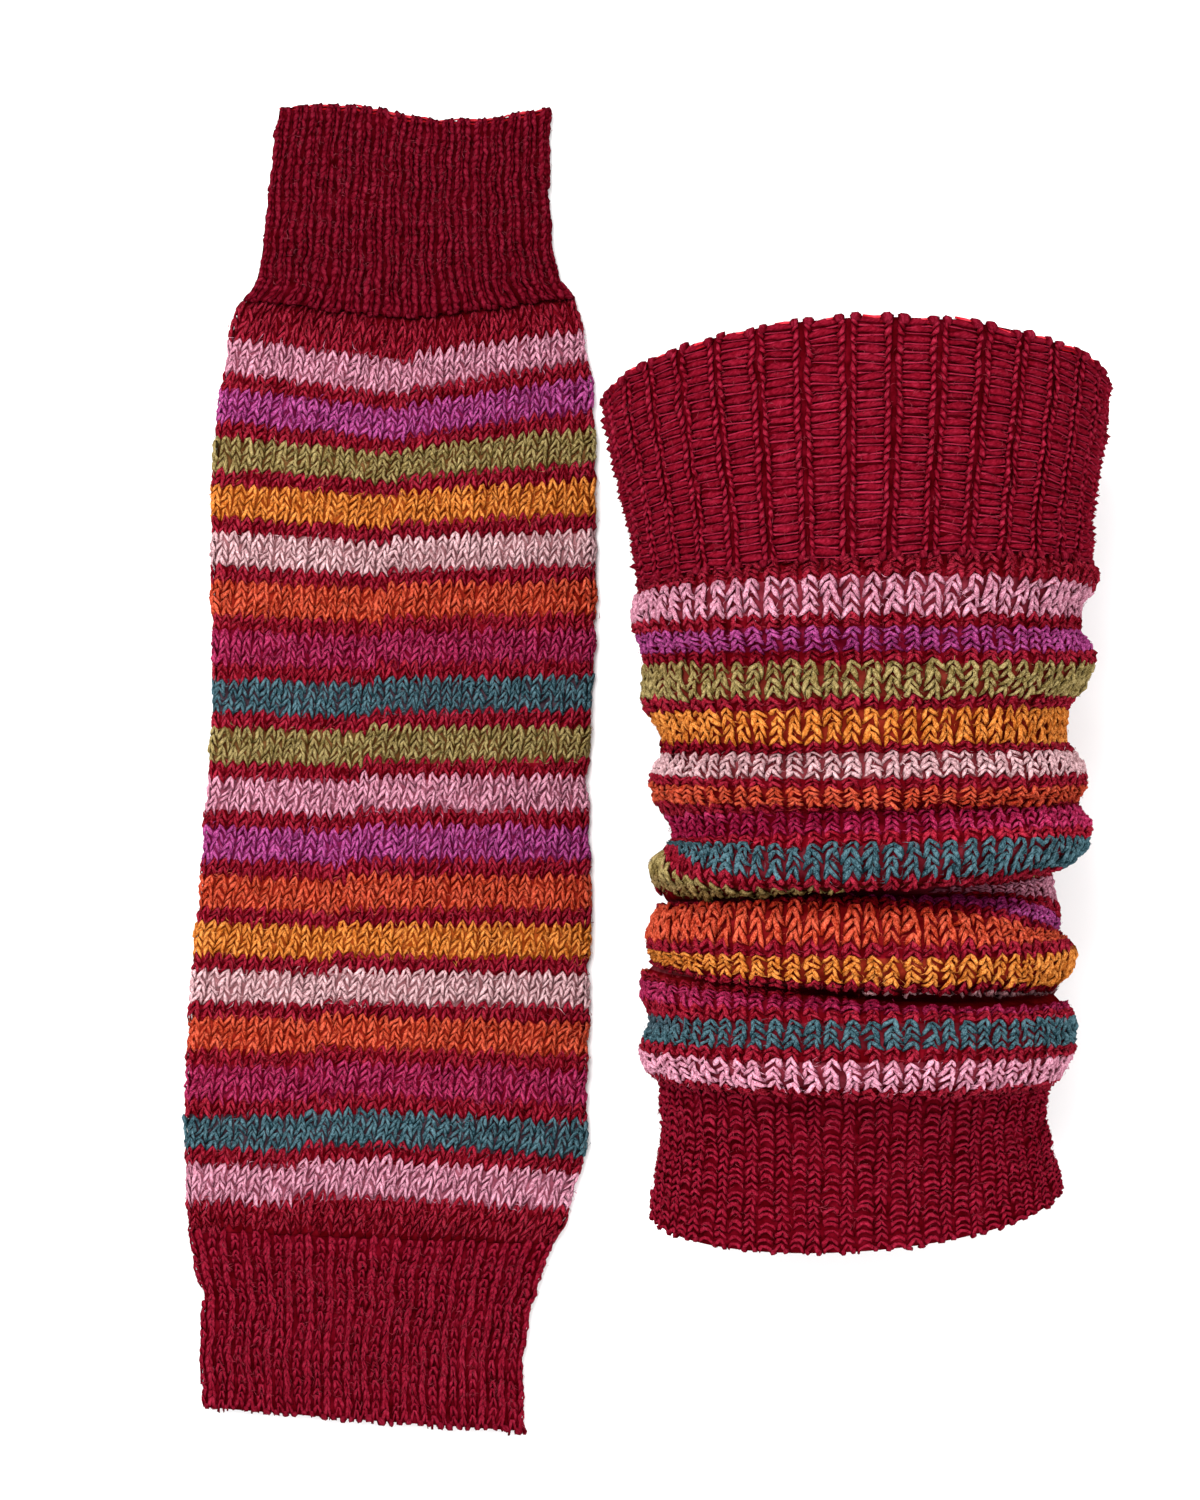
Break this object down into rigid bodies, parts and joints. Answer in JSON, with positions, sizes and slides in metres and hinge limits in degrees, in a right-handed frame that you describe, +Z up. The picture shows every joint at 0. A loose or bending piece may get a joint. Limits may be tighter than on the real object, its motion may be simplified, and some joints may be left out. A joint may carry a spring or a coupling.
{
  "type": "pair of leg warmers",
  "caption": "Pair of knitted wool leg warmers with striped legs and ribbed cuffs, one lying flat and one filled out as an open, softly folded tube.",
  "frame": {"origin": "middle of the pair's footprint, on the surface that both lie on", "axes": "+Y along the leg warmers towards their upper cuffs, +Z up from the surface, the flat one on the -X side and the filled-out one on the +X side"},
  "size_m": [0.2728, 0.3966, 0.1418],
  "materials": {
    "cuff_wool": "soft dark red ribbed wool knit",
    "leg_wool": "soft red wool knit with coloured stripes and a light fuzz"
  },
  "bodies": {
    "root": {"laid_upper_cuff": "cuff_wool", "laid_leg": "leg_wool", "laid_lower_cuff": "cuff_wool", "filled_upper_cuff": "cuff_wool", "filled_leg": "leg_wool", "filled_lower_cuff": "cuff_wool"}
  },
  "joints": []
}
